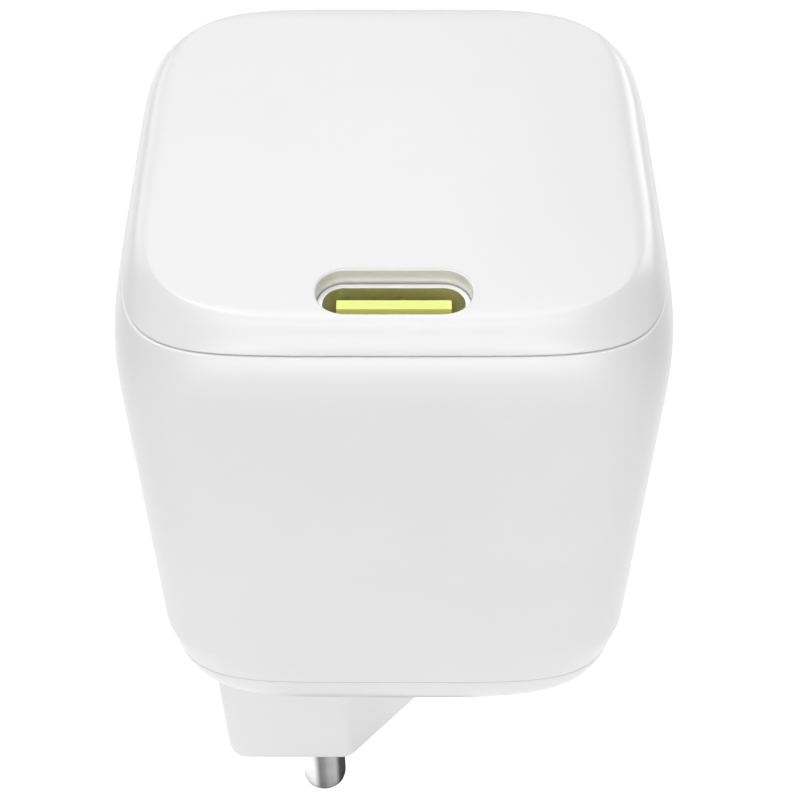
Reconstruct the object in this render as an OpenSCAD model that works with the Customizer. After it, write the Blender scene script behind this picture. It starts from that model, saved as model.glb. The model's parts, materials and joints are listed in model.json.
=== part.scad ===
// Compact USB-C wall charger with a fixed two-pin mains plug.
// A rounded-square moulded housing of three pieces, a plug block set on the diagonal of its base,
// a USB-C receptacle near the front edge of its top, and the power electronics inside.
// The origin is the centre of the plug's engagement face. +Z points up, towards the receptacle.

/* [Housing] */
// Width of the body at its widest
body_w = 34.7; // [34.4:0.1:36]
// Depth of the body at its widest, front to back
body_d = 32.7; // [32.4:0.1:34]
// Height of the body, from the base's flat to the top face
body_h = 42.85; // [42:0.05:44]
// Thickness of the moulded wall
wall = 1.6; // [1.4:0.1:1.8]
// How far each corner of the wall reaches along a side
corner_reach = 15.2; // [14:0.1:16]
// How square the corners of the wall are (2 is a circle)
wall_power = 5.8; // [4:0.1:7]
// How far each corner reaches along the top seam
seam_reach = 17; // [15:0.1:17]
// How square the corners of the top seam are
seam_power = 5.8; // [4:0.1:6]
// How far each corner of the top face reaches along a side
top_reach = 2.2; // [2:0.1:6]
// How square the corners of the top face are
top_power = 3.2; // [2.4:0.1:4]
// How far each corner of the base's flat reaches along a side
foot_reach = 15.5; // [14:0.1:16]
// How square the corners of the base's flat are
foot_power = 4.4; // [3.5:0.1:5]
// Inset of the skin at the top seam
seam_inset = 0.9; // [0.8:0.05:1.1]
// Height over which the shoulder draws in to the top seam
shoulder_h = 9.6; // [8:0.1:11]
// Rise from the top seam to the top face
cap_rise = 2.3; // [2:0.1:2.5]
// Width of the cap's rolled edge
cap_roll = 3.1; // [2.8:0.1:3.2]
// Height of the base below the lower seam
base_h = 4.6; // [4.5:0.05:5.5]
// Inset of the base's flat from the wall
foot_inset = 5; // [4:0.1:5]
// Height over which the base draws in
foot_h = 8.4; // [8:0.1:9]
// How much further out each side stands at the base than at the shoulder
flare = 0.16; // [0:0.01:0.3]
// Open gap that shows at both seams
seam_gap = 0.15; // [0.1:0.05:0.2]

/* [Plug] */
// Height of the plug block below the base
plug_h = 12.7; // [12:0.1:18]
// Distance from the plug's axis to each face beside its pointed ends
block_reach = 14.05; // [13.6:0.05:14.2]
// Width of the plug block across its long sides
block_w = 14.5; // [13.2:0.1:14.6]
// Radius of the plug block's pointed ends
tip_r = 1.7; // [1.5:0.1:4]
// Draft of the plug block over its height
block_draft = 0.05; // [0:0.05:0.3]
// Diameter of the pins
pin_d = 4; // [3.95:0.01:4.05]
// Distance between the pins
pin_pitch = 18.8; // [18:0.1:19.2]
// Length of the pins below the engagement face
pin_len = 19; // [18:0.5:19]
// Length of the insulating sleeves below the engagement face
sleeve_len = 10; // [9:0.5:10]

/* [Receptacle] */
// Distance of the receptacle in front of the body's axis
port_offset = 12.4; // [12:0.1:12.4]
// Width of the opening in the top
port_w = 9.05; // [9:0.05:9.3]
// Depth of the opening, front to back
port_t = 3.45; // [3.3:0.05:3.5]
// Depth of the receptacle's mouth below the top face
mouth_drop = 1.1; // [0.9:0.1:1.2]

/* [Inside] */
// Width of the transformer's core
core_w = 20.5; // [19:0.5:20.5]
// Diameter of the smoothing capacitors
bulk_d = 9; // [8:0.5:9]
// Diameter of the output capacitors
output_d = 8; // [6.3:0.1:8]

/* [Smoothness] */
// Steps round each corner of the housing
corner_steps = 9; // [8:1:16]

/* [Hidden] */

$fn = 28;

// Heights of the housing, from the engagement face up
base_z = plug_h;
base_seam_z = base_z + base_h;
foot_top_z = base_z + foot_h;
top_z = base_z + body_h;
seam_z = top_z - cap_rise;
shoulder_z = seam_z - shoulder_h;
half_w = body_w / 2;
half_d = body_d / 2;
depth_share = body_d / body_w;
side_flat = 0.3;
shoulder_power = 4.95;
base_power = 4.5;

// The cap's rolled edge rises steeply from the seam and fades slowly into the top face
roll_power = 5;
roll_steps = 6;

// Joints between the housing's pieces
lip_w = wall / 2;
fit = 0.1;
spigot_t = 1;
spigot_len = 2.3;
floor_z = base_z + 2.2;
pocket_inset = wall + fit + spigot_t + 0.15;

// Plug
pin_r = pin_d / 2;
pin_at = pin_pitch / 2 / sqrt(2);
shank_r = 1.5;
sleeve_r = 1.84;
sleeve_up = 3;
collar_r = 2.4;
collar_z = 5;
collar_len = 3;
tail_z = floor_z + 2;
bore_clear = 0.05;

// Receptacle, to the sizes of a standard USB-C socket
mouth_z = top_z - mouth_drop;
port_len = 7.3;
port_end_z = mouth_z - port_len;
port_shell_w = 8.94;
port_shell_t = 3.16;
port_shell_wall = 0.3;
tongue_w = 6.69;
tongue_t = 0.7;
tongue_tip_z = mouth_z - 0.05;
insulator_len = 1.6;
relief_w = 9.4;

// Boards
output_board_t = 1;
output_board_y = -port_offset + port_shell_t / 2;
output_board_w = 23.6;
output_board_z = [base_z + 4.2, seam_z - 1.6];
main_board_t = 1.2;
main_board_y = half_d - wall - 4.7;
main_board_w = 25.6;
main_board_z = [base_z + 3.2, seam_z - 2.6];
board_back_y = main_board_y + main_board_t;
board_slot = 0.05;

// Transformer
core_x = -14.5 + core_w / 2;
core_z = base_z + 25.4;
core_h = 17;
core_plate = 2.5;
core_leg = 2.9;
window_y = [main_board_y - 13, main_board_y - 4];
core_post_r = 4.25;
split_y = (window_y[0] + window_y[1]) / 2;

function mix(a, b, t) = a + (b - a) * t;

// ---- Skin of the housing: one function of height, shared by its three pieces ----

function shoulder_inset(z) = seam_inset * pow((z - shoulder_z) / shoulder_h, shoulder_power);

function roll_inset(z) = seam_inset + cap_roll * (1 - pow(max(0, 1 - cap_share(z)), 1 / roll_power));

function base_inset(z) =
    foot_inset * (1 - pow(max(0, 1 - pow((foot_top_z - z) / foot_h, base_power)), 1 / base_power));

function skin_inset(z) =
    z > seam_z ? roll_inset(z) : z > shoulder_z ? shoulder_inset(z) : z < foot_top_z ? base_inset(z) : 0;

// Half the housing's width at height z; the wall flares a little from the shoulder down
function skin_half(z) =
    half_w - skin_inset(z) + flare * min(max((shoulder_z - z) / (shoulder_z - base_z), 0), 1);

// Share of the way up the cap, up the shoulder and down the base
function cap_share(z) = (z - seam_z) / cap_rise;
function shoulder_share(z) = pow((z - shoulder_z) / shoulder_h, 2);
function foot_share(z) = (foot_top_z - z) / foot_h;

function skin_power(z) =
    z > seam_z ? mix(seam_power, top_power, cap_share(z))
    : z > shoulder_z ? mix(wall_power, seam_power, shoulder_share(z))
    : z < foot_top_z ? mix(wall_power, foot_power, foot_share(z)) : wall_power;

function skin_reach(z) =
    z > seam_z ? mix(seam_reach, top_reach, (roll_inset(z) - seam_inset) / cap_roll)
    : z > shoulder_z ? mix(corner_reach, seam_reach, shoulder_share(z))
    : z < foot_top_z ? mix(corner_reach, foot_reach + foot_inset, foot_share(z)) - base_inset(z) : corner_reach;

function corner_angle(i) = 45 * (1 - cos(180 * i / corner_steps));

// Outline of the housing at height z, drawn in by inset; the front and back are nearer than the sides
function skin_outline(z, inset) =
    let (
        half = skin_half(z),
        reach = min(skin_reach(z), half - side_flat),
        power = 2 / skin_power(z),
        half_at = [half - inset, depth_share * half - inset],
        reach_at = [reach - inset, depth_share * reach - inset]
    )
    [for (q = [0:3], k = [0:corner_steps]) let (
        a = corner_angle(q % 2 == 0 ? k : corner_steps - k),
        side = [q == 1 || q == 2 ? -1 : 1, q > 1 ? -1 : 1]
    ) [
        side[0] * (half_at[0] - reach_at[0] * (1 - pow(cos(a), power))),
        side[1] * (half_at[1] - reach_at[1] * (1 - pow(sin(a), power)))
    ]];

function at_height(outline, z) = [for (p = outline) [p[0], p[1], z]];

function skin_ring(z, inset = 0) = at_height(skin_outline(z, inset), z);

// Levels up the cap, evenly spread over the width of its rolled edge
function cap_level(i) = seam_z + cap_rise * (1 - pow(1 - i / roll_steps, roll_power));

// ---- Builders ----

function side_faces(n, a, b) = [
    for (i = [0:n - 1], f = [0:1]) let (j = (i + 1) % n)
        f == 0 ? [a * n + i, b * n + i, b * n + j] : [a * n + i, b * n + j, a * n + j]
];

// Closed solid through a stack of rings, each with the same number of points
module loft(rings) {
    n = len(rings[0]);
    last = len(rings) - 1;
    sides = [for (k = [0:last - 1], f = side_faces(n, k, k + 1)) f];
    foot = [[for (i = [0:n - 1]) i]];
    head = [[for (i = [n - 1:-1:0]) last * n + i]];
    polyhedron([for (r = rings, p = r) p], concat(foot, sides, head), convexity = 6);
}

// Hollow solid round the axis, from a closed loop of rings: up the outside and down the inside
module ring_loop(rings) {
    n = len(rings[0]);
    m = len(rings);
    polyhedron([for (r = rings, p = r) p], [for (k = [0:m - 1], f = side_faces(n, k, (k + 1) % m)) f],
        convexity = 6);
}

module skin_frame(z, inset, thick, from, to) {
    translate([0, 0, from])
        linear_extrude(to - from)
            difference() {
                polygon(skin_outline(z, inset));
                polygon(skin_outline(z, inset + thick));
            }
}

// Slot with round ends, lying along X
module slot(w, t, h) {
    linear_extrude(h)
        union() {
            square([w - t, t], center = true);
            for (side = [-1, 1])
                translate([side * (w - t) / 2, 0])
                    circle(d = t);
        }
}

// Box given by its two corners
module span(low, high) {
    translate(low)
        cube(high - low);
}

// ---- Housing ----

module shell() {
    outside = [
        base_seam_z, base_seam_z + 1.6, foot_top_z, shoulder_z,
        for (s = [0.45, 0.6, 0.72, 0.82, 0.91, 1]) shoulder_z + s * shoulder_h
    ];
    inside = [
        for (s = [0.82, 0.6]) shoulder_z + s * shoulder_h,
        shoulder_z, foot_top_z, base_seam_z + 1.6
    ];
    top_edge = [
        at_height(skin_outline(seam_z, lip_w), seam_z),
        at_height(skin_outline(seam_z, lip_w), seam_z + seam_gap),
        at_height(skin_outline(seam_z, wall), seam_z + seam_gap)
    ];
    low_edge = [
        at_height(skin_outline(base_seam_z, wall), base_seam_z - seam_gap),
        at_height(skin_outline(base_seam_z, lip_w), base_seam_z - seam_gap),
        at_height(skin_outline(base_seam_z, lip_w), base_seam_z)
    ];
    relief = 0.1;
    relief_y = -port_offset - port_shell_t / 2 - relief;
    color("white")
        difference() {
            ring_loop(concat(
                [for (z = outside) skin_ring(z)],
                top_edge,
                [for (z = inside) skin_ring(z, wall)],
                low_edge
            ));
            // Room for the receptacle where the shoulder comes in over it
            span([-relief_w / 2, relief_y, port_end_z - relief], [relief_w / 2, 0, top_z]);
        }
}

// Fork on the cap's underside that grips the output board's upper edge
module board_fork(x) {
    w = 3;
    grip = 1.4;
    jaw = 1;
    translate([x, output_board_y, 0])
        difference() {
            span([-w / 2, -jaw, output_board_z[1] - grip], [w / 2, output_board_t + jaw, seam_z + seam_gap]);
            span([-w, -board_slot, 0], [w, output_board_t + board_slot, output_board_z[1]]);
        }
}

module top_cap() {
    fork_x = 9;
    notch_x = 6;
    rim_z = seam_z + seam_gap;
    levels = concat([rim_z], [for (i = [1:roll_steps]) cap_level(i)]);
    chamfer = 0.2;
    color("white")
        difference() {
            union() {
                loft([for (z = levels) skin_ring(z)]);
                skin_frame(seam_z, wall + fit, spigot_t, rim_z - spigot_len, rim_z);
                for (x = [-fork_x, fork_x]) board_fork(x);
            }
            // Opening over the receptacle, with a broken edge
            translate([0, -port_offset, rim_z - 1])
                slot(port_w, port_t, top_z);
            translate([0, -port_offset, top_z - chamfer])
                slot(port_w + 2 * chamfer, port_t + 2 * chamfer, top_z);
            // The spigot is cut away where the receptacle passes behind it
            span([-notch_x, -half_d, rim_z - spigot_len - 1], [notch_x, output_board_y, rim_z]);
        }
}

// Corner of a polygon rounded by an arc, as points
function rounded(a, v, b, r, steps = 4) =
    let (
        u = (a - v) / norm(a - v),
        w = (b - v) / norm(b - v),
        half = acos(u * w) / 2,
        reach = r / tan(half),
        mid = (u + w) / norm(u + w),
        centre = v + mid * r / sin(half),
        from = v + u * reach - centre,
        sweep = 180 - 2 * half
    )
    [for (i = [0:steps]) let (t = sweep * i / steps)
        centre + [from[0] * cos(t) - from[1] * sin(t), from[0] * sin(t) + from[1] * cos(t)]];

// Plug block: a hexagon with two pointed ends, set on the body's diagonal
function block_outline(grow) =
    let (
        far = block_reach + grow,
        near = far - (block_w + 2 * grow) / sqrt(2),
        corners = [[-far, -far], [-near, -far], [far, near], [far, far], [near, far], [-far, -near]],
        radii = [tip_r, 1.6, 1.6, tip_r, 1.6, 1.6]
    )
    [for (i = [0:5], p = rounded(corners[(i + 5) % 6], corners[i], corners[(i + 1) % 6], radii[i] + grow)) p];

module plug_block() {
    edge = 0.3;
    loft(concat(
        [for (a = [0, 30, 60, 90]) at_height(block_outline(-edge * (1 - sin(a))), edge * (1 - cos(a)))],
        [at_height(block_outline(block_draft), plug_h + 1.2)]
    ));
}

// Stepped hole that holds one pin, its collar and its sleeve
module pin_seat() {
    translate([0, 0, -1])
        cylinder(r = sleeve_r + bore_clear, h = sleeve_up + 1);
    cylinder(r = shank_r + bore_clear, h = floor_z + 1);
    translate([0, 0, collar_z])
        cylinder(r = collar_r + bore_clear, h = collar_len);
}

// Slotted post on the base's floor that a board's lower edge stands in
module board_post(x, y, thick, edge_z) {
    w = 3;
    grip = 1.8;
    translate([x, y, 0])
        difference() {
            span([-w / 2, -1.2, floor_z - 0.5], [w / 2, thick + 1.2, edge_z + grip]);
            span([-w, -board_slot, edge_z], [w, thick + board_slot, edge_z + 2 * grip]);
        }
}

module bottom_cap() {
    post_x = 11;
    rim_z = base_seam_z - seam_gap;
    levels = [for (s = [0, 0.03, 0.08, 0.16, 0.28, 0.44, 0.7, 1]) mix(base_z, rim_z, s)];
    color("white")
        difference() {
            union() {
                difference() {
                    loft([for (z = levels) skin_ring(z)]);
                    translate([0, 0, floor_z])
                        linear_extrude(base_h)
                            polygon(skin_outline(base_seam_z, pocket_inset));
                }
                skin_frame(base_seam_z, wall + fit, spigot_t, rim_z, rim_z + spigot_len);
                plug_block();
                for (x = [-post_x, post_x]) {
                    board_post(x, main_board_y, main_board_t, main_board_z[0]);
                    board_post(x, output_board_y, output_board_t, output_board_z[0]);
                }
            }
            for (side = [-1, 1])
                translate([side * pin_at, side * pin_at, 0])
                    pin_seat();
        }
}

// ---- Plug pins ----

module plug_pin() {
    neck_z = -sleeve_len;
    rotate_extrude()
        union() {
            intersection() {
                translate([0, -pin_len + pin_r])
                    circle(r = pin_r, $fn = 20);
                translate([0, -pin_len])
                    square([pin_r, pin_r]);
            }
            translate([0, -pin_len + pin_r])
                square([pin_r, pin_len - pin_r + neck_z]);
            translate([0, neck_z])
                square([shank_r, tail_z - neck_z]);
            translate([0, collar_z])
                square([collar_r, collar_len]);
        }
}

module front_pin() {
    color("silver")
        translate([-pin_at, -pin_at, 0])
            plug_pin();
}

module rear_pin() {
    color("silver")
        translate([pin_at, pin_at, 0])
            plug_pin();
}

module pin_sleeve() {
    translate([0, 0, -sleeve_len])
        difference() {
            cylinder(r = sleeve_r, h = sleeve_len + sleeve_up);
            translate([0, 0, -1])
                cylinder(r = shank_r + bore_clear / 2, h = sleeve_len + sleeve_up + 2);
        }
}

module front_sleeve() {
    color("white")
        translate([-pin_at, -pin_at, 0])
            pin_sleeve();
}

module rear_sleeve() {
    color("white")
        translate([pin_at, pin_at, 0])
            pin_sleeve();
}

// Strip from a pin's tail along the floor, turned up against the main board
module contact_strip(x, y) {
    strip_t = 0.4;
    strip_w = 4.4;
    turn_up = 2;
    difference() {
        union() {
            span([x - strip_w / 2, y, floor_z], [x + strip_w / 2, main_board_y, floor_z + strip_t]);
            translate([x, y, floor_z])
                cylinder(d = strip_w, h = strip_t);
            span([x - strip_w / 2, main_board_y - strip_t, floor_z],
                [x + strip_w / 2, main_board_y, main_board_z[0] + turn_up]);
        }
        translate([x, y, floor_z - 1])
            cylinder(r = shank_r + bore_clear, h = 3);
    }
}

module front_contact() {
    color("goldenrod")
        contact_strip(-pin_at, -pin_at);
}

module rear_contact() {
    color("goldenrod")
        contact_strip(pin_at, pin_at);
}

// ---- USB-C receptacle ----

module port_shell() {
    color("silver")
        translate([0, -port_offset, port_end_z])
            difference() {
                slot(port_shell_w, port_shell_t, port_len);
                translate([0, 0, -1])
                    slot(port_shell_w - 2 * port_shell_wall, port_shell_t - 2 * port_shell_wall, port_len + 2);
            }
}

module port_housing() {
    slack = 0.02;
    color("yellowgreen")
        translate([0, -port_offset, port_end_z])
            slot(port_shell_w - 2 * port_shell_wall - slack, port_shell_t - 2 * port_shell_wall - slack,
                insulator_len);
}

module port_tongue() {
    root_z = port_end_z + insulator_len;
    root_len = 1;
    root_w = 7.2;
    root_t = 1.3;
    color("yellow")
        translate([0, -port_offset, root_z])
            union() {
                translate([-root_w / 2, -root_t / 2, 0])
                    cube([root_w, root_t, root_len]);
                translate([-tongue_w / 2, -tongue_t / 2, 0])
                    cube([tongue_w, tongue_t, tongue_tip_z - root_z]);
            }
}

// Twelve contacts on each face of the tongue
module port_contacts() {
    contact_w = 0.25;
    contact_t = 0.08;
    contact_pitch = 0.5;
    per_side = 12;
    low_z = port_end_z + insulator_len + 1;
    high_z = tongue_tip_z - 0.6;
    color("gold")
        for (side = [-1, 1], i = [0:per_side - 1])
            translate([(i - (per_side - 1) / 2) * contact_pitch - contact_w / 2,
                -port_offset + side * (tongue_t + contact_t) / 2 - contact_t / 2, low_z])
                cube([contact_w, contact_t, high_z - low_z]);
}

// ---- Boards ----

module main_board() {
    color("seagreen")
        span([-main_board_w / 2, main_board_y, main_board_z[0]],
            [main_board_w / 2, board_back_y, main_board_z[1]]);
}

module output_board() {
    color("seagreen")
        span([-output_board_w / 2, output_board_y, output_board_z[0]],
            [output_board_w / 2, output_board_y + output_board_t, output_board_z[1]]);
}

// ---- Transformer, its axis along Y ----

// Turns a shape's +Z to +Y
module along_y(x, y, z) {
    translate([x, y, z])
        rotate([-90, 0, 0])
            children();
}

module core_half(plate_from, plate_to, leg_from, leg_to) {
    color("dimgray")
        translate([core_x, 0, core_z])
            union() {
                span([-core_w / 2, plate_from, -core_h / 2], [core_w / 2, plate_to, core_h / 2]);
                for (x = [-core_w / 2, core_w / 2 - core_leg])
                    span([x, leg_from, -core_h / 2], [x + core_leg, leg_to, core_h / 2]);
                along_y(0, leg_from, 0)
                    cylinder(r = core_post_r, h = leg_to - leg_from);
            }
}

module core_lower() {
    core_half(window_y[1], window_y[1] + core_plate, split_y, window_y[1]);
}

module core_upper() {
    core_half(window_y[0] - core_plate, window_y[0], window_y[0], split_y);
}

bobbin_r = core_post_r + 0.1;
bobbin_wall = 0.6;
flange_t = 0.6;
window_w = core_w - 2 * core_leg;
coil_y = [window_y[0] + 0.05 + flange_t, window_y[1] - 0.05 - flange_t];
coil_len = coil_y[1] - coil_y[0];
flange_w = window_w - 0.3;

module bobbin() {
    block_z = core_h / 2 + 0.1;
    block_len = 2.3;
    color("black")
        difference() {
            union() {
                along_y(core_x, coil_y[0], core_z)
                    cylinder(r = bobbin_r + bobbin_wall, h = coil_len);
                along_y(core_x, coil_y[0] - flange_t, core_z)
                    cylinder(d = flange_w, h = flange_t);
                span([core_x - flange_w / 2, coil_y[1], core_z - block_z - block_len],
                    [core_x + flange_w / 2, coil_y[1] + flange_t, core_z + block_z + block_len]);
                // Terminal blocks above and below the core, standing on the board
                for (side = [-1, 1])
                    translate([core_x - flange_w / 2, coil_y[1], core_z + side * (block_z + block_len / 2)])
                        span([0, 0, -block_len / 2], [flange_w, main_board_y - coil_y[1], block_len / 2]);
            }
            along_y(core_x, coil_y[0] - 2 * flange_t, core_z)
                cylinder(r = bobbin_r, h = coil_len + 4 * flange_t);
        }
}

// Coil of round wire in one layer over a plain body
module coil(inner, outer, length, turns) {
    wire_r = length / turns / 2;
    wires = [for (i = [0:turns - 1], a = [-90:45:45])
        [outer - wire_r * (1 - cos(a)), wire_r * (2 * i + 1 + sin(a))]];
    rotate_extrude()
        polygon(concat(wires, [[outer - wire_r, length], [inner, length], [inner, 0]]));
}

winding_split_r = 5.7;
winding_r = 7;
winding_gap = 0.02;
secondary_turns = 6;

module primary_winding() {
    color("peru")
        along_y(core_x, coil_y[0], core_z)
            difference() {
                cylinder(r = winding_split_r, h = coil_len);
                translate([0, 0, -1])
                    cylinder(r = bobbin_r + bobbin_wall + winding_gap, h = coil_len + 2);
            }
}

module secondary_winding() {
    color("orange")
        along_y(core_x, coil_y[0], core_z)
            coil(winding_split_r + winding_gap, winding_r, coil_len, secondary_turns);
}

// ---- Capacitors ----

// Can with a crimped groove at its sealed end, which stands on two leads; +Z points away from the board
module can_capacitor(d, length) {
    stand = 0.3;
    groove = 0.35;
    lead_r = 0.3;
    vent_w = 0.25;
    difference() {
        translate([0, 0, stand])
            rotate_extrude($fn = 24)
                difference() {
                    square([d / 2, length - stand]);
                    translate([d / 2 + 0.15, 1.6])
                        circle(r = groove + 0.15, $fn = 6);
                }
        for (a = [0, 90])
            rotate([0, 0, a])
                translate([-d / 3, -vent_w / 2, length - 0.15])
                    cube([2 * d / 3, vent_w, 1]);
    }
    for (side = [-1, 1])
        translate([side * d / 4, 0, 0])
            cylinder(r = lead_r, h = stand, $fn = 16);
}

bulk_len = 18.3;
bulk_z = base_z + 9.8;
bulk_x = [-10.2, -0.9];

module bulk_capacitor(i) {
    color("navy")
        translate([bulk_x[i - 1], main_board_y, bulk_z])
            rotate([90, 0, 0])
                can_capacitor(bulk_d, bulk_len);
}

side_x = 10.8;
x_cap_z = base_z + 7.3;
choke_z = base_z + 17.6;
supply_z = base_z + 25.4;
y_cap_z = base_z + 31.8;

module supply_capacitor() {
    color("navy")
        translate([side_x, main_board_y, supply_z])
            rotate([90, 0, 0])
                can_capacitor(5, 9);
}

output_y = output_board_y + output_board_t;
output_len = 8.4;
output_z = [base_z + 20, base_z + 29];

module output_capacitor(i) {
    color("slateblue")
        along_y(side_x, output_y, output_z[i - 1])
            can_capacitor(output_d, output_len);
}

module x_capacitor() {
    color("gold")
        span([side_x - 4.4, main_board_y - 11.5, x_cap_z], [side_x + 3.9, main_board_y, x_cap_z + 5]);
}

module y_capacitor() {
    thick = 3.6;
    stand = 4.4;
    lead_r = 0.3;
    color("steelblue")
        union() {
            translate([side_x - thick / 2, main_board_y - stand, y_cap_z])
                rotate([0, 90, 0])
                    cylinder(d = 7.4, h = thick);
            for (side = [-1, 1])
                along_y(side_x, main_board_y - stand, y_cap_z + side * 2.5)
                    cylinder(r = lead_r, h = stand, $fn = 16);
        }
}

// ---- Common-mode choke: a ring core standing on its base, its axis along X ----

choke_y = main_board_y - 5.6;
choke_r = 4.3;
choke_hole_r = 2.2;
choke_t = 3.6;
wire_t = 0.8;

module choke_core() {
    color("darkgreen")
        translate([side_x - choke_t / 2, choke_y, choke_z])
            rotate([0, 90, 0])
                difference() {
                    cylinder(r = choke_r, h = choke_t);
                    translate([0, 0, -1])
                        cylinder(r = choke_hole_r, h = choke_t + 2);
                }
}

// Rectangular turn of wire round the ring's section
module choke_turn() {
    slack = 0.05;
    low = choke_hole_r - slack;
    high = choke_r + slack;
    deep = choke_t / 2 + slack;
    rotate([90, 0, 0])
        linear_extrude(wire_t, center = true)
            difference() {
                translate([low - wire_t, -deep - wire_t])
                    square([high - low + 2 * wire_t, 2 * (deep + wire_t)]);
                translate([low, -deep])
                    square([high - low, 2 * deep]);
            }
}

module choke_windings() {
    turns = 5;
    turn_step = 25;
    color("orangered")
        translate([side_x, choke_y, choke_z])
            rotate([0, 90, 0])
                for (side = [0, 180], i = [0:turns - 1])
                    rotate([0, 0, side + (i - (turns - 1) / 2) * turn_step])
                        choke_turn();
}

// Foot with a saddle that the ring stands in
module choke_base() {
    foot = [3.6, 4.2];
    saddle_z = 2.2;
    saddle_deep = 0.7;
    color("black")
        translate([side_x, choke_y, choke_z])
            difference() {
                union() {
                    span([-foot[0], choke_r + 0.1, -foot[1]], [foot[0], main_board_y - choke_y, foot[1]]);
                    span([-choke_t / 2, choke_r - saddle_deep, -saddle_z],
                        [choke_t / 2, choke_r + 0.1, saddle_z]);
                }
                translate([-choke_t, 0, 0])
                    rotate([0, 90, 0])
                        cylinder(r = choke_r, h = 2 * choke_t);
            }
}

// ---- Surface-mounted parts ----

// Flat package on the main board's rear face, centred at x and z
module rear_chip(x, z, w, h, thick) {
    span([x - w / 2, board_back_y, z - h / 2], [x + w / 2, board_back_y + thick, z + h / 2]);
}

module fuse() {
    color("ivory")
        rear_chip(-6.5, base_z + 9.1, 7.4, 3, 2.4);
}

module bridge_rectifier() {
    color("black")
        rear_chip(5.5, base_z + 8, 6.5, 5, 1.5);
}

spreader_y = board_back_y + 1.9;
gan_at = [0, base_z + 20];

module gan_switch() {
    color("black")
        rear_chip(gan_at[0], gan_at[1], 8, 8, 0.9);
}

module thermal_pad() {
    pad = 9;
    color("lightgray")
        span([gan_at[0] - pad / 2, board_back_y + 0.9, gan_at[1] - pad / 2],
            [gan_at[0] + pad / 2, spreader_y, gan_at[1] + pad / 2]);
}

module controller_chip() {
    color("black")
        rear_chip(7, base_z + 28, 5, 6, 1.5);
}

module optocoupler() {
    color("black")
        rear_chip(-6.5, base_z + 29, 4.6, 4.4, 1.8);
}

module sync_rectifier() {
    color("black")
        span([-9, output_y, base_z + 28], [-4, output_y + 1, base_z + 34]);
}

module protocol_chip() {
    color("black")
        span([-2, output_y, base_z + 29], [2, output_y + 0.85, base_z + 33]);
}

// ---- Heat spreader behind the main board ----

spreader_w = 22;
spreader_t = 0.5;
spreader_z = [base_z + 12.5, base_z + 34.5];

module heat_spreader() {
    color("lightsteelblue")
        union() {
            span([-spreader_w / 2, spreader_y, spreader_z[0]],
                [spreader_w / 2, spreader_y + spreader_t, spreader_z[1]]);
            for (x = [-spreader_w / 2, spreader_w / 2 - spreader_t])
                span([x, board_back_y, spreader_z[0] + 8], [x + spreader_t, spreader_y, spreader_z[1] - 4]);
        }
}

module insulating_film() {
    film_t = 0.2;
    margin = 0.8;
    color("khaki")
        span([-spreader_w / 2 - margin, spreader_y + spreader_t, spreader_z[0] - margin],
            [spreader_w / 2 + margin, spreader_y + spreader_t + film_t, spreader_z[1] + margin]);
}

shell();
top_cap();
bottom_cap();
front_pin();
rear_pin();
front_sleeve();
rear_sleeve();
front_contact();
rear_contact();
port_shell();
port_housing();
port_tongue();
port_contacts();
main_board();
output_board();
core_lower();
core_upper();
bobbin();
primary_winding();
secondary_winding();
bulk_capacitor(1);  // bulk_capacitor_1
bulk_capacitor(2);  // bulk_capacitor_2
x_capacitor();
y_capacitor();
supply_capacitor();
choke_core();
choke_windings();
choke_base();
output_capacitor(1);  // output_capacitor_1
output_capacitor(2);  // output_capacitor_2
fuse();
bridge_rectifier();
gan_switch();
controller_chip();
optocoupler();
sync_rectifier();
protocol_chip();
thermal_pad();
heat_spreader();
insulating_film();
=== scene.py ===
import json
import math

import bpy
import bmesh
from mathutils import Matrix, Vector


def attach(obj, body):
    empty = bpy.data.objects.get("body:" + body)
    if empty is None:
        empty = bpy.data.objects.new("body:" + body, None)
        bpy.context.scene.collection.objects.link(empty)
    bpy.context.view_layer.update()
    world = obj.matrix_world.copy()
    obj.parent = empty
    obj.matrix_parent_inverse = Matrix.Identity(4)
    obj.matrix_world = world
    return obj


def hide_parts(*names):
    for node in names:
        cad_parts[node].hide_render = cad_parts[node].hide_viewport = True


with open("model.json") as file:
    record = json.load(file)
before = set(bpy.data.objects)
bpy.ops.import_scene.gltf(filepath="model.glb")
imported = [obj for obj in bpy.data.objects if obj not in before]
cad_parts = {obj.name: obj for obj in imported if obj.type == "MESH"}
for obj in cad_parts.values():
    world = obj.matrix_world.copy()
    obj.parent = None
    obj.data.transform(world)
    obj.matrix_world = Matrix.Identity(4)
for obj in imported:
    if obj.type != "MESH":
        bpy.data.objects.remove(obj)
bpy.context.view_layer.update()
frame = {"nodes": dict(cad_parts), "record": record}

MM = 0.001

# ---------------------------------------------------------------------------
# The housing's form, from the same values as the solids, in millimetres
# ---------------------------------------------------------------------------

HALF_W, HALF_D = 17.35, 16.35
DEPTH_SHARE = HALF_D / HALF_W
CORNER_REACH, SEAM_REACH, TOP_REACH, FOOT_REACH = 15.2, 17.0, 2.2, 15.5
WALL_POWER, SEAM_POWER, TOP_POWER, FOOT_POWER = 5.8, 5.8, 3.2, 4.4
WALL = 1.6
LIP = WALL / 2
SEAM_GAP = 0.1
SPIGOT_GAP, SPIGOT_T, SPIGOT_H = 0.1, 1.0, 2.3
FLARE = 0.16
SIDE_FLAT = 0.3
BASE_Z = 12.7
BASE_SEAM_Z = BASE_Z + 4.6
FOOT_INSET, FOOT_H, BASE_POWER = 5.0, 8.4, 4.5
FOOT_TOP_Z = BASE_Z + FOOT_H
TOP_Z = BASE_Z + 42.85
CAP_RISE, CAP_ROLL, ROLL_POWER = 2.3, 3.1, 5
SEAM_Z = TOP_Z - CAP_RISE
SEAM_INSET, SHOULDER_H, SHOULDER_POWER = 0.9, 9.6, 4.95
SHOULDER_Z = SEAM_Z - SHOULDER_H
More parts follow.
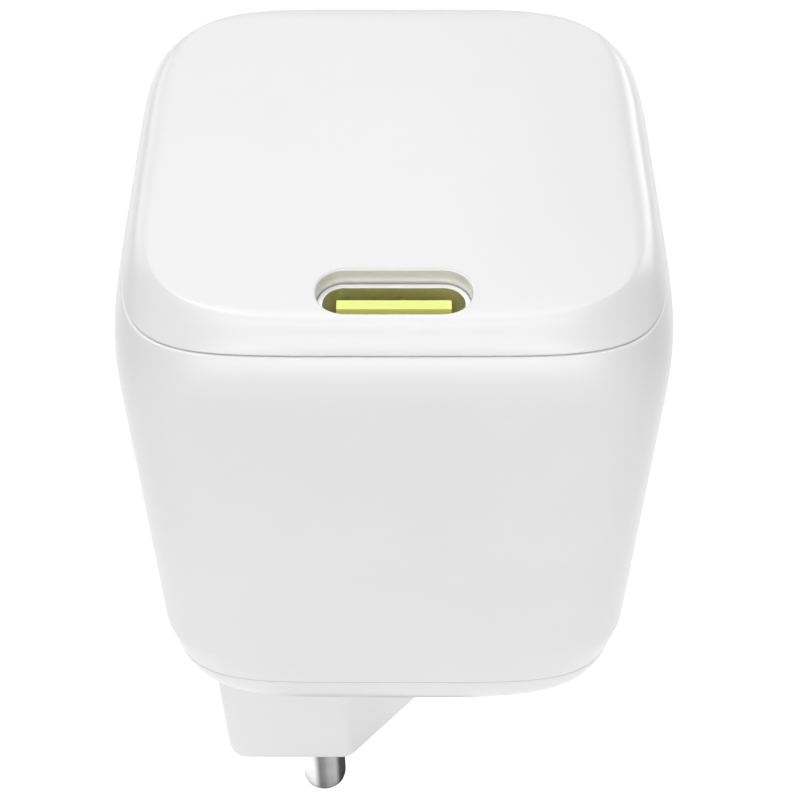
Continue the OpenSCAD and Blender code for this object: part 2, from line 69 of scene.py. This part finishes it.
SEAM_ROUND = 0.11

PORT_Y = -12.4
PORT_W, PORT_T = 9.05, 3.45
PORT_EDGE = 0.12
RECEPTACLE_HALF_T, RECEPTACLE_END_Z = 1.58, TOP_Z - 8.4
RELIEF_W, RELIEF = 9.4, 0.1
BOARD_Y, BOARD_T = HALF_D - WALL - 4.7, 1.2
OUTPUT_BOARD_Y, OUTPUT_BOARD_T = PORT_Y + RECEPTACLE_HALF_T, 1.0
GRIP_HALF_W, GRIP_PLAY = 1.5, 0.05
CAP_GRIP_X, CAP_JAW, CAP_GRIP_DROP = 9, 1.0, 3
BASE_GRIP_X, BASE_JAW, BASE_GRIP_LOW = 11, 1.2, 1.7
BOARD_GRIP_TOP, OUTPUT_GRIP_TOP = 5, 6
SPIGOT_SLOT_HALF, SPIGOT_SLOT_H = 6, 3

CORNER_STEPS = 44


def mix(a, b, t):
    return a + (b - a) * t


def cap_inset(z):
    return CAP_ROLL * (1 - max(0, 1 - (z - SEAM_Z) / CAP_RISE) ** (1 / ROLL_POWER))


def base_inset(z):
    t = (FOOT_TOP_Z - z) / FOOT_H
    return FOOT_INSET * (1 - max(0, 1 - t ** BASE_POWER) ** (1 / BASE_POWER))


def skin_section(z):
    """Half width, corner reach and corner power of the housing at height z."""
    half = HALF_W + FLARE * min(max((SHOULDER_Z - z) / (SHOULDER_Z - BASE_Z), 0), 1)
    reach, power = CORNER_REACH, WALL_POWER
    if z > SEAM_Z:
        half -= SEAM_INSET + cap_inset(z)
        reach = mix(SEAM_REACH, TOP_REACH, cap_inset(z) / CAP_ROLL)
        power = mix(SEAM_POWER, TOP_POWER, (z - SEAM_Z) / CAP_RISE)
    elif z > SHOULDER_Z:
        t = (z - SHOULDER_Z) / SHOULDER_H
        half -= SEAM_INSET * t ** SHOULDER_POWER
        reach = mix(CORNER_REACH, SEAM_REACH, t * t)
        power = mix(WALL_POWER, SEAM_POWER, t * t)
    elif z < FOOT_TOP_Z:
        t = (FOOT_TOP_Z - z) / FOOT_H
        half -= base_inset(z)
        reach = mix(CORNER_REACH, FOOT_REACH + FOOT_INSET, t) - base_inset(z)
        power = mix(WALL_POWER, FOOT_POWER, t)
    return half, min(reach, half - SIDE_FLAT), power


def skin_ring(z_skin, inset=0.0, z=None):
    """Ring of the housing's outline at z_skin, drawn in by inset and placed at z."""
    half, reach, power = skin_section(z_skin)
    half_x, half_y = half - inset, DEPTH_SHARE * half - inset
    reach_x, reach_y = reach - inset, DEPTH_SHARE * reach - inset
    ring = []
    for q in range(4):
        for k in range(CORNER_STEPS + 1):
            step = k if q % 2 == 0 else CORNER_STEPS - k
            a = math.radians(45 * (1 - math.cos(math.pi * step / CORNER_STEPS)))
            x = half_x - reach_x * (1 - max(0.0, math.cos(a)) ** (2 / power))
            y = half_y - reach_y * (1 - max(0.0, math.sin(a)) ** (2 / power))
            ring.append((-x if q in (1, 2) else x, -y if q > 1 else y, z_skin if z is None else z))
    return ring


def rounded_edge(z_edge, step, steps=5, r=SEAM_ROUND):
    """Rings that turn the skin over into a flat rim at z_edge. step is +1 for a rim that faces up."""
    rings = []
    for i in range(steps + 1):
        t = i / steps
        z = z_edge - step * r * (1 - t) ** 2
        rings.append(skin_ring(z, r * t * t))
    return rings


def levels(a, b, n, ease=1.0):
    return [a + (b - a) * (i / n) ** ease for i in range(n + 1)]


# ---------------------------------------------------------------------------
# Mesh helpers
# ---------------------------------------------------------------------------


def add_ring(bm, ring):
    return [bm.verts.new(Vector(p) * MM) for p in ring]


def bridge(bm, a, b):
    n = len(a)
    for i in range(n):
        j = (i + 1) % n
        bm.faces.new((a[i], a[j], b[j], b[i]))


def loft(bm, rings, closed=False):
    rows = [add_ring(bm, r) for r in rings]
    for a, b in zip(rows, rows[1:]):
        bridge(bm, a, b)
    if closed:
        bridge(bm, rows[-1], rows[0])
    return rows


def fill_between(bm, loops):
    """Flat face with holes, bounded by closed loops of vertices in one plane."""
    edges = []
    for loop in loops:
        for i, v in enumerate(loop):
            w = loop[(i + 1) % len(loop)]
            edges.append(bm.edges.get((v, w)) or bm.edges.new((v, w)))
    bmesh.ops.triangle_fill(bm, use_beauty=True, use_dissolve=False, edges=edges)


def box_mesh(bm, low, high):
    x0, y0, z0 = low
    x1, y1, z1 = high
    corners = ((x0, y0), (x1, y0), (x1, y1), (x0, y1))
    v = [bm.verts.new(Vector((x, y, z)) * MM) for z in (z0, z1) for x, y in corners]
    for f in ((3, 2, 1, 0), (4, 5, 6, 7), (0, 1, 5, 4), (1, 2, 6, 5), (2, 3, 7, 6), (3, 0, 4, 7)):
        bm.faces.new([v[i] for i in f])


def write_mesh(bm, mesh, sharp=35):
    """Writes bm to mesh, smooth but for edges that turn by more than sharp degrees."""
    for f in bm.faces:
        f.smooth = True
    for e in bm.edges:
        e.smooth = not (len(e.link_faces) == 2 and e.calc_face_angle(0) > math.radians(sharp))
    bm.to_mesh(mesh)
    bm.free()


def cut_away(obj, bm):
    """Takes the closed body bm out of obj's mesh."""
    bmesh.ops.recalc_face_normals(bm, faces=bm.faces)
    mesh = bpy.data.meshes.new("cutter")
    bm.to_mesh(mesh)
    bm.free()
    cutter = bpy.data.objects.new("cutter", mesh)
    bpy.context.scene.collection.objects.link(cutter)
    mod = obj.modifiers.new("cut", "BOOLEAN")
    mod.object = cutter
    mod.operation = "DIFFERENCE"
    mod.solver = "EXACT"
    bpy.context.view_layer.update()
    made = bpy.data.meshes.new_from_object(obj.evaluated_get(bpy.context.evaluated_depsgraph_get()))
    obj.modifiers.clear()
    obj.data = made
    bpy.data.objects.remove(cutter)
    result = bmesh.new()
    result.from_mesh(made)
    write_mesh(result, made)


def finish_mesh(name, bm, material, node):
    bmesh.ops.recalc_face_normals(bm, faces=bm.faces)
    mesh = bpy.data.meshes.new(name)
    write_mesh(bm, mesh)
    obj = bpy.data.objects.new(name, mesh)
    bpy.context.scene.collection.objects.link(obj)
    mesh.materials.append(material)
    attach(obj, "root")
    if node:
        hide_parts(node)
    return obj


def slot_ring(w, t, z, steps=18):
    """Ring of a slot with round ends, centred on the socket."""
    r, run = t / 2, (w - t) / 2
    ring = []
    for side, start in ((1, -90), (-1, 90)):
        for i in range(steps + 1):
            a = math.radians(start + 180 * i / steps)
            ring.append((side * run + r * math.cos(a), PORT_Y + r * math.sin(a), z))
    return ring


# ---------------------------------------------------------------------------
# Materials
# ---------------------------------------------------------------------------


class Nodes:
    """Small helper that builds one Principled material."""

    def __init__(self, name):
        self.mat = bpy.data.materials.new(name)
        self.mat.use_nodes = True
        self.tree = self.mat.node_tree
        self.bsdf = self.tree.nodes["Principled BSDF"]
        self.coord = self.tree.nodes.new("ShaderNodeTexCoord").outputs["Object"]

    def set(self, **values):
        for key, value in values.items():
            self.bsdf.inputs[key.replace("_", " ").title().replace("Ior", "IOR")].default_value = value
        return self

    def noise(self, scale, detail=2.0, rough=0.5, stretch=None):
        vector = self.coord
        if stretch:
            mapping = self.tree.nodes.new("ShaderNodeMapping")
            mapping.inputs["Scale"].default_value = stretch
            self.tree.links.new(self.coord, mapping.inputs["Vector"])
            vector = mapping.outputs["Vector"]
        node = self.tree.nodes.new("ShaderNodeTexNoise")
        node.inputs["Scale"].default_value = scale
        node.inputs["Detail"].default_value = detail
        node.inputs["Roughness"].default_value = rough
        self.tree.links.new(vector, node.inputs["Vector"])
        return node.outputs["Fac"]

    def colour(self, source, a, b, low=0.3, high=0.7):
        ramp = self.tree.nodes.new("ShaderNodeValToRGB")
        ramp.color_ramp.elements[0].position = low
        ramp.color_ramp.elements[0].color = (*a, 1)
        ramp.color_ramp.elements[1].position = high
        ramp.color_ramp.elements[1].color = (*b, 1)
        self.tree.links.new(source, ramp.inputs["Fac"])
        self.tree.links.new(ramp.outputs["Color"], self.bsdf.inputs["Base Color"])
        return self

    def roughness(self, source, low, high):
        node = self.tree.nodes.new("ShaderNodeMapRange")
        node.inputs["To Min"].default_value = low
        node.inputs["To Max"].default_value = high
        self.tree.links.new(source, node.inputs["Value"])
        self.tree.links.new(node.outputs["Result"], self.bsdf.inputs["Roughness"])
        return self

    def bump(self, *sources):
        """Each source is (height output, strength, depth in mm)."""
        last = None
        for height, strength, depth in sources:
            node = self.tree.nodes.new("ShaderNodeBump")
            node.inputs["Strength"].default_value = strength
            node.inputs["Distance"].default_value = depth * MM
            self.tree.links.new(height, node.inputs["Height"])
            if last:
                self.tree.links.new(last, node.inputs["Normal"])
            last = node.outputs["Normal"]
        self.tree.links.new(last, self.bsdf.inputs["Normal"])
        return self


def white_plastic():
    n = Nodes("white_plastic").set(coat_weight=1.0, coat_roughness=0.3, coat_ior=1.6)
    n.colour(n.noise(60, 4), (0.80, 0.80, 0.80), (0.83, 0.83, 0.83))
    n.roughness(n.noise(900, 3, 0.6), 0.30, 0.42)
    n.bump((n.noise(9000, 2), 0.25, 0.012), (n.noise(350, 2), 0.15, 0.02))
    return n.mat


def plain(name, a, b, rough, grain=4000, depth=0.01, speckle=300):
    n = Nodes(name)
    n.colour(n.noise(speckle, 4), a, b)
    n.roughness(n.noise(700, 3), *rough)
    n.bump((n.noise(grain, 3), 0.3, depth))
    return n.mat


def turned_metal(name, a, b, rough):
    n = Nodes(name).set(metallic=1.0)
    n.colour(n.noise(500, 3), a, b)
    n.roughness(n.noise(400, 4, 0.6, (1, 1, 12)), *rough)
    n.bump((n.noise(900, 2, 0.5, (0.4, 0.4, 9)), 0.12, 0.006), (n.noise(5000, 2), 0.08, 0.004))
    return n.mat


M = {
    "white_plastic": white_plastic(),
    "pin_metal": turned_metal("pin_metal", (0.72, 0.72, 0.73), (0.80, 0.80, 0.81), (0.14, 0.22)),
    "sleeve_plastic": plain("sleeve_plastic", (0.012, 0.012, 0.013), (0.022, 0.022, 0.024), (0.4, 0.55)),
    "contact_metal": turned_metal("contact_metal", (0.60, 0.40, 0.15), (0.70, 0.50, 0.2), (0.25, 0.4)),
    "port_steel": turned_metal("port_steel", (0.86, 0.86, 0.84), (0.92, 0.92, 0.90), (0.34, 0.48)),
    "lime_plastic": plain("lime_plastic", (0.90, 0.97, 0.26), (0.94, 0.99, 0.30), (0.3, 0.45)),
    "gold_contact": turned_metal("gold_contact", (0.75, 0.50, 0.14), (0.85, 0.60, 0.2), (0.18, 0.3)),
    "circuit_board": plain("circuit_board", (0.008, 0.08, 0.025), (0.012, 0.11, 0.035), (0.3, 0.45),
                           1500, 0.02),
    "ferrite": plain("ferrite", (0.025, 0.025, 0.028), (0.06, 0.06, 0.065), (0.55, 0.8),
                     2500, 0.03, speckle=3000),
    "green_ferrite": plain("green_ferrite", (0.02, 0.10, 0.04), (0.03, 0.14, 0.06), (0.3, 0.5)),
    "black_plastic": plain("black_plastic", (0.008, 0.008, 0.008), (0.016, 0.016, 0.016), (0.45, 0.65),
                           6000, 0.015),
    "winding_tape": plain("winding_tape", (0.65, 0.43, 0.03), (0.75, 0.52, 0.05), (0.15, 0.35)),
    "copper_wire": turned_metal("copper_wire", (0.48, 0.16, 0.05), (0.62, 0.24, 0.08), (0.22, 0.36)),
    "capacitor_sleeve": plain("capacitor_sleeve", (0.006, 0.010, 0.035), (0.012, 0.018, 0.06), (0.2, 0.35)),
    "capacitor_can": turned_metal("capacitor_can", (0.60, 0.61, 0.63), (0.72, 0.73, 0.75), (0.25, 0.4)),
    "yellow_plastic": plain("yellow_plastic", (0.68, 0.42, 0.01), (0.75, 0.48, 0.02), (0.3, 0.45)),
    "blue_ceramic": plain("blue_ceramic", (0.012, 0.07, 0.32), (0.02, 0.1, 0.42), (0.25, 0.45), 1200, 0.03),
    "ivory_ceramic": plain("ivory_ceramic", (0.66, 0.62, 0.47), (0.74, 0.70, 0.55), (0.3, 0.5)),
    "grey_pad": plain("grey_pad", (0.19, 0.21, 0.24), (0.26, 0.28, 0.31), (0.7, 0.9), 2500, 0.04),
    "spreader_metal": turned_metal("spreader_metal", (0.58, 0.59, 0.61), (0.68, 0.69, 0.71), (0.28, 0.45)),
    "amber_film": plain("amber_film", (0.48, 0.20, 0.01), (0.58, 0.26, 0.02), (0.08, 0.2)),
}

for part in frame["record"]["subparts"]:
    node = frame["nodes"].get(part["node"])
    if node:
        node.data.materials.clear()
        node.data.materials.append(M[part["material_slot"]])

# ---------------------------------------------------------------------------
# Housing
# ---------------------------------------------------------------------------


def build_shell():
    bm = bmesh.new()
    up = levels(BASE_SEAM_Z + SEAM_ROUND, FOOT_TOP_Z, 6)[1:] + [SHOULDER_Z]
    up += levels(SHOULDER_Z, SEAM_Z - SEAM_ROUND, 22, 0.8)[1:-1]
    rings = rounded_edge(BASE_SEAM_Z, -1)[::-1] + [skin_ring(z) for z in up] + rounded_edge(SEAM_Z, 1)
    rings += [skin_ring(SEAM_Z, LIP), skin_ring(SEAM_Z, LIP, SEAM_Z + SEAM_GAP)]
    rings += [skin_ring(SEAM_Z, WALL, SEAM_Z + SEAM_GAP)]
    inner = [SEAM_Z - 1.5, SEAM_Z - 3.4, SEAM_Z - 6, SHOULDER_Z, FOOT_TOP_Z, BASE_SEAM_Z + 1.6]
    rings += [skin_ring(z, WALL) for z in inner]
    rings += [skin_ring(BASE_SEAM_Z, WALL, BASE_SEAM_Z - SEAM_GAP)]
    rings += [skin_ring(BASE_SEAM_Z, LIP, BASE_SEAM_Z - SEAM_GAP), skin_ring(BASE_SEAM_Z, LIP)]
    loft(bm, rings, closed=True)
    shell = finish_mesh("housing_shell", bm, M["white_plastic"], "shell")
    # Room for the receptacle where the shoulder comes in over it
    bm = bmesh.new()
    box_mesh(bm, (-RELIEF_W / 2, PORT_Y - RECEPTACLE_HALF_T - RELIEF, RECEPTACLE_END_Z - RELIEF),
             (RELIEF_W / 2, 0, TOP_Z))
    cut_away(shell, bm)


def spigot_frame(bm, z_skin, low, high):
    """Frame that enters the shell, just inside its wall."""
    outer = WALL + SPIGOT_GAP
    inner = outer + SPIGOT_T
    loft(bm, [skin_ring(z_skin, outer, low), skin_ring(z_skin, outer, high),
              skin_ring(z_skin, inner, high), skin_ring(z_skin, inner, low)], closed=True)


def board_grip(bm, x, y, thick, jaw, low, high):
    """Two jaws that hold a board's edge between them."""
    for a, b in ((y - jaw, y - GRIP_PLAY), (y + thick + GRIP_PLAY, y + thick + jaw)):
        box_mesh(bm, (x - GRIP_HALF_W, a, low), (x + GRIP_HALF_W, b, high))


def build_cap():
    bm = bmesh.new()
    rim = SEAM_Z + SEAM_GAP
    rings = rounded_edge(rim, -1)[::-1]
    start = 1 - (1 - (rim + SEAM_ROUND - SEAM_Z) / CAP_RISE) ** (1 / ROLL_POWER)
    for i in range(1, 27):
        t = mix(start, 1, i / 26)
        rings.append(skin_ring(SEAM_Z + CAP_RISE * (1 - (1 - t) ** ROLL_POWER)))
    rows = loft(bm, rings)
    fill_between(bm, [rows[0]])
    fill_between(bm, [rows[-1]])
    cap = finish_mesh("housing_cap", bm, M["white_plastic"], "top_cap")
    # The opening's edge rolls over into its wall, and the wall runs through the plate
    bm = bmesh.new()
    hole = [slot_ring(PORT_W + 2 * PORT_EDGE, PORT_T + 2 * PORT_EDGE, TOP_Z + 1)]
    for i in range(8):
        a = math.pi / 2 * i / 7
        grow = PORT_EDGE * (1 - math.sin(a))
        z = TOP_Z - 0.03 - PORT_EDGE * (1 - math.cos(a))
        hole.append(slot_ring(PORT_W + 2 * grow, PORT_T + 2 * grow, z))
    hole.append(slot_ring(PORT_W, PORT_T, rim - 1))
    hole_rows = loft(bm, hole)
    fill_between(bm, [hole_rows[0]])
    fill_between(bm, [hole_rows[-1]])
    cut_away(cap, bm)
    bm = bmesh.new()
    spigot_frame(bm, SEAM_Z, rim - SPIGOT_H, rim)
    for x in (-CAP_GRIP_X, CAP_GRIP_X):
        board_grip(bm, x, OUTPUT_BOARD_Y, OUTPUT_BOARD_T, CAP_JAW, SEAM_Z - CAP_GRIP_DROP, rim)
    spigot = finish_mesh("cap_spigot", bm, M["white_plastic"], None)
    # The spigot is open behind the receptacle
    bm = bmesh.new()
    box_mesh(bm, (-SPIGOT_SLOT_HALF, -HALF_W, rim - SPIGOT_SLOT_H),
             (SPIGOT_SLOT_HALF, OUTPUT_BOARD_Y, rim + 0.01))
    cut_away(spigot, bm)


PIN_AT = 18.8 / 2 / math.sqrt(2)
BLOCK_REACH, BLOCK_W, TIP_R, SIDE_R = 14.05, 14.5, 1.7, 1.6
BLOCK_EDGE, BLOCK_DRAFT = 0.35, 0.05
SLEEVE_R, MOUTH_GAP, MOUTH_DEPTH = 1.84, 0.05, 3.0
BASE_RIM, BASE_FLOOR, BLOCK_ROOT = 2.85, 2.2, 1.2


def arc_corner(a, v, b, r, steps):
    a, v, b = Vector(a), Vector(v), Vector(b)
    u, w = (a - v).normalized(), (b - v).normalized()
    half = math.acos(max(-1, min(1, u.dot(w)))) / 2
    mid = (u + w).normalized()
    centre = v + mid * r / math.sin(half)
    first = v + u * (r / math.tan(half)) - centre
    sweep = math.pi - 2 * half
    points = []
    for i in range(steps + 1):
        t = sweep * i / steps
        points.append((centre.x + first.x * math.cos(t) - first.y * math.sin(t),
                       centre.y + first.x * math.sin(t) + first.y * math.cos(t)))
    return points


def block_ring(grow, z):
    far = BLOCK_REACH + grow
    near = far - (BLOCK_W + 2 * grow) / math.sqrt(2)
    corners = [(-far, -far), (-near, -far), (far, near), (far, far), (near, far), (-far, -near)]
    radii = [TIP_R, SIDE_R, SIDE_R, TIP_R, SIDE_R, SIDE_R]
    ring = []
    for i in range(6):
        ring += arc_corner(corners[i - 1], corners[i], corners[(i + 1) % 6], radii[i] + grow, 14)
    return [(x, y, z) for x, y in ring]


def circle_ring(x, y, r, z, steps=48):
    return [(x + r * math.cos(2 * math.pi * i / steps), y + r * math.sin(2 * math.pi * i / steps), z)
            for i in range(steps)]


def build_base():
    bm = bmesh.new()
    rim = BASE_SEAM_Z - SEAM_GAP
    rings = [skin_ring(mix(BASE_Z, rim - SEAM_ROUND, (i / 26) ** 1.7)) for i in range(26)]
    rings += rounded_edge(rim, 1)
    rings += [skin_ring(BASE_SEAM_Z, BASE_RIM, rim), skin_ring(BASE_SEAM_Z, BASE_RIM, BASE_Z + BASE_FLOOR)]
    rows = loft(bm, rings)
    fill_between(bm, [rows[0]])
    fill_between(bm, [rows[-1]])
    spigot_frame(bm, BASE_SEAM_Z, rim, rim + SPIGOT_H)
    low = BASE_Z + BASE_GRIP_LOW
    for x in (-BASE_GRIP_X, BASE_GRIP_X):
        board_grip(bm, x, BOARD_Y, BOARD_T, BASE_JAW, low, BASE_Z + BOARD_GRIP_TOP)
        board_grip(bm, x, OUTPUT_BOARD_Y, OUTPUT_BOARD_T, BASE_JAW, low, BASE_Z + OUTPUT_GRIP_TOP)
    # Plug block with rounded lower edges and the mouths that the sleeves stand in
    block = []
    for i in range(9):
        a = math.pi / 2 * i / 8
        block.append(block_ring(-BLOCK_EDGE * (1 - math.sin(a)), BLOCK_EDGE * (1 - math.cos(a))))
    for t in (0.25, 0.5, 0.75, 1):
        block.append(block_ring(BLOCK_DRAFT * t, mix(BLOCK_EDGE, BASE_Z + BLOCK_ROOT, t)))
    block_rows = loft(bm, block)
    fill_between(bm, [block_rows[-1]])
    mouths = []
    for side in (-1, 1):
        c = side * PIN_AT
        bore = SLEEVE_R + MOUTH_GAP
        mouth = loft(bm, [circle_ring(c, c, bore + 0.15, 0.0), circle_ring(c, c, bore + 0.03, 0.05),
                          circle_ring(c, c, bore, 0.15), circle_ring(c, c, bore, MOUTH_DEPTH)])
        fill_between(bm, [mouth[-1]])
        mouths.append(mouth[0])
    fill_between(bm, [block_rows[0]] + mouths)
    finish_mesh("housing_base", bm, M["white_plastic"], "bottom_cap")


build_shell()
build_cap()
build_base()

# ---------------------------------------------------------------------------
# CAD nodes that stay: smooth where they are round
# ---------------------------------------------------------------------------

for name, node in frame["nodes"].items():
    if node.hide_render:
        continue
    weld = node.modifiers.new("weld", "WELD")
    weld.merge_threshold = 0.000002
    for p in node.data.polygons:
        p.use_smooth = True
    split = node.modifiers.new("edges", "EDGE_SPLIT")
    split.split_angle = math.radians(30)

# ---------------------------------------------------------------------------
# Stage, light and camera
# ---------------------------------------------------------------------------


def stage_object(name, bm):
    """Object of the stage, made from bm."""
    mesh = bpy.data.meshes.new(name)
    bm.to_mesh(mesh)
    bm.free()
    obj = bpy.data.objects.new(name, mesh)
    bpy.context.scene.collection.objects.link(obj)
    return obj


def seen_by_either(tree, path, a, b):
    """1 for a ray of either kind, else 0."""
    node = tree.nodes.new("ShaderNodeMath")
    node.operation = "MAXIMUM"
    tree.links.new(path.outputs[a], node.inputs[0])
    tree.links.new(path.outputs[b], node.inputs[1])
    return node.outputs[0]


def stage_floor(half=3.0, z=-0.16, glow=0.5):
    """Pale floor that camera and mirror rays see as white paper. It still takes the part's shadow."""
    bm = bmesh.new()
    for x, y in ((-half, -half), (half, -half), (half, half), (-half, half)):
        bm.verts.new((x, y, z))
    bm.faces.new(bm.verts)
    floor = stage_object("floor", bm)
    mat = bpy.data.materials.new("floor_white")
    mat.use_nodes = True
    t = mat.node_tree
    bsdf = t.nodes["Principled BSDF"]
    bsdf.inputs["Base Color"].default_value = (0.9, 0.9, 0.9, 1)
    bsdf.inputs["Roughness"].default_value = 0.9
    path = t.nodes.new("ShaderNodeLightPath")
    scale = t.nodes.new("ShaderNodeMath")
    scale.operation = "MULTIPLY"
    scale.inputs[1].default_value = glow
    t.links.new(seen_by_either(t, path, "Is Camera Ray", "Is Glossy Ray"), scale.inputs[0])
    bsdf.inputs["Emission Color"].default_value = (1, 1, 1, 1)
    t.links.new(scale.outputs[0], bsdf.inputs["Emission Strength"])
    floor.data.materials.append(mat)


def pin_reflection_card(hole=4.0, reach=16.0, drop=30.0):
    """Glowing ring of card below the front pin, brighter and dimmer round it, whose light paints the pin's
    reflections. Only reflections see it.
    """
    bm = bmesh.new()
    loft(bm, [circle_ring(0, 0, hole, 0), circle_ring(0, 0, reach, 0)])
    flag = stage_object("pin_reflection_card", bm)
    flag.location = Vector((-PIN_AT, -PIN_AT, -drop)) * MM
    flag.visible_camera = flag.visible_diffuse = flag.visible_shadow = False
    mat = bpy.data.materials.new("pin_reflection_glow")
    mat.use_nodes = True
    t = mat.node_tree
    bsdf = t.nodes["Principled BSDF"]
    bsdf.inputs["Base Color"].default_value = (0, 0, 0, 1)
    bsdf.inputs["Roughness"].default_value = 1.0
    bsdf.inputs["Specular IOR Level"].default_value = 0.0
    # The card glows; its emitted light is a painted reflection on the pin, not a grey card's colour
    bsdf.inputs["Emission Strength"].default_value = 1.3
    coord = t.nodes.new("ShaderNodeTexCoord").outputs["Object"]
    # Bands of glow round the card, by the compass angle: painted reflection bands on the pin
    angle = t.nodes.new("ShaderNodeTexGradient")
    angle.gradient_type = "RADIAL"
    turn = t.nodes.new("ShaderNodeMapping")
    turn.inputs["Rotation"].default_value = (0, 0, math.radians(90))
    t.links.new(coord, turn.inputs["Vector"])
    t.links.new(turn.outputs["Vector"], angle.inputs["Vector"])
    bands = t.nodes.new("ShaderNodeValToRGB")
    stops = ((0.0, 0.04), (0.10, 1.0), (0.36, 1.0), (0.44, 0.2), (0.5, 0.25),
             (0.56, 0.42), (0.67, 0.5), (0.74, 0.06), (1.0, 0.04))
    ramp = bands.color_ramp
    while len(ramp.elements) < len(stops):
        ramp.elements.new(0.5)
    for element, (at, grey) in zip(ramp.elements, stops):
        element.position = at
        element.color = (grey, grey, grey, 1)
    t.links.new(angle.outputs["Fac"], bands.inputs["Fac"])
    # Dimmer glow towards the hole: a painted dark reflection along the outline of the rounded tip
    reach_out = t.nodes.new("ShaderNodeVectorMath")
    reach_out.operation = "LENGTH"
    t.links.new(coord, reach_out.inputs[0])
    centre = t.nodes.new("ShaderNodeMapRange")
    centre.inputs["From Min"].default_value = 6.5 * MM
    centre.inputs["From Max"].default_value = 8 * MM
    centre.inputs["To Min"].default_value = 0.3
    t.links.new(reach_out.outputs["Value"], centre.inputs["Value"])
    dim = t.nodes.new("ShaderNodeVectorMath")
    dim.operation = "SCALE"
    t.links.new(bands.outputs["Color"], dim.inputs[0])
    t.links.new(centre.outputs["Result"], dim.inputs["Scale"])
    t.links.new(dim.outputs["Vector"], bsdf.inputs["Emission Color"])
    flag.data.materials.append(mat)


def stage_world(fill):
    """White to camera, mirror and see-through rays, and as bright as fill to the rest."""
    world = bpy.data.worlds.new("studio")
    bpy.context.scene.world = world
    world.use_nodes = True
    t = world.node_tree
    back = t.nodes["Background"]
    path = t.nodes.new("ShaderNodeLightPath")
    b = t.nodes.new("ShaderNodeMath")
    b.operation = "MAXIMUM"
    t.links.new(seen_by_either(t, path, "Is Camera Ray", "Is Glossy Ray"), b.inputs[0])
    t.links.new(path.outputs["Is Transmission Ray"], b.inputs[1])
    strength = t.nodes.new("ShaderNodeMapRange")
    strength.inputs["To Min"].default_value = fill
    strength.inputs["To Max"].default_value = 1.0
    t.links.new(b.outputs[0], strength.inputs["Value"])
    back.inputs["Color"].default_value = (1, 1, 1, 1)
    t.links.new(strength.outputs["Result"], back.inputs["Strength"])


def softbox(name, at, size, power, target=(0, 0, 0.03)):
    data = bpy.data.lights.new(name, "AREA")
    data.shape = "RECTANGLE"
    data.size, data.size_y = size
    data.energy = power
    lamp = bpy.data.objects.new(name, data)
    bpy.context.scene.collection.objects.link(lamp)
    lamp.location = at
    lamp.rotation_euler = (Vector(target) - Vector(at)).to_track_quat("-Z", "Y").to_euler()


stage_floor()
pin_reflection_card()
stage_world(0.0)
# Each lamp's place and size in metres, and its power in watts
softbox("above", (-0.06, 0.22, 0.85), (0.7, 1.25), 4.3)
softbox("above_front", (0.0, -0.1, 0.85), (0.6, 0.5), 0.4)
softbox("above_left", (-0.22, 0.0, 0.45), (0.25, 0.25), 0.4)
softbox("front_high", (0.0, -0.6, 0.6), (0.9, 0.5), 2.5)
softbox("front", (0.0, -0.75, 0.15), (0.7, 0.35), 1.0)
softbox("front_low", (0.0, -0.75, -0.05), (0.7, 0.2), 1.0)
softbox("behind_left", (-0.6, 0.55, 0.2), (0.5, 0.5), 0.6)
softbox("behind_right", (0.6, 0.55, 0.2), (0.5, 0.5), 1.4)

PITCH = 50.597
cam_data = bpy.data.cameras.new("camera")
cam_data.sensor_width = 36
cam_data.lens = 68.951
cam_data.shift_x = 0.00755
cam_data.shift_y = 0.00377
cam_data.clip_start = 0.01
cam_data.clip_end = 20
camera = bpy.data.objects.new("camera", cam_data)
bpy.context.scene.collection.objects.link(camera)
camera.location = (0.0, -0.073205, 0.11944)
camera.rotation_euler = (math.radians(90 - PITCH), 0, 0)
bpy.context.scene.camera = camera
bpy.context.scene.view_settings.view_transform = "Standard"
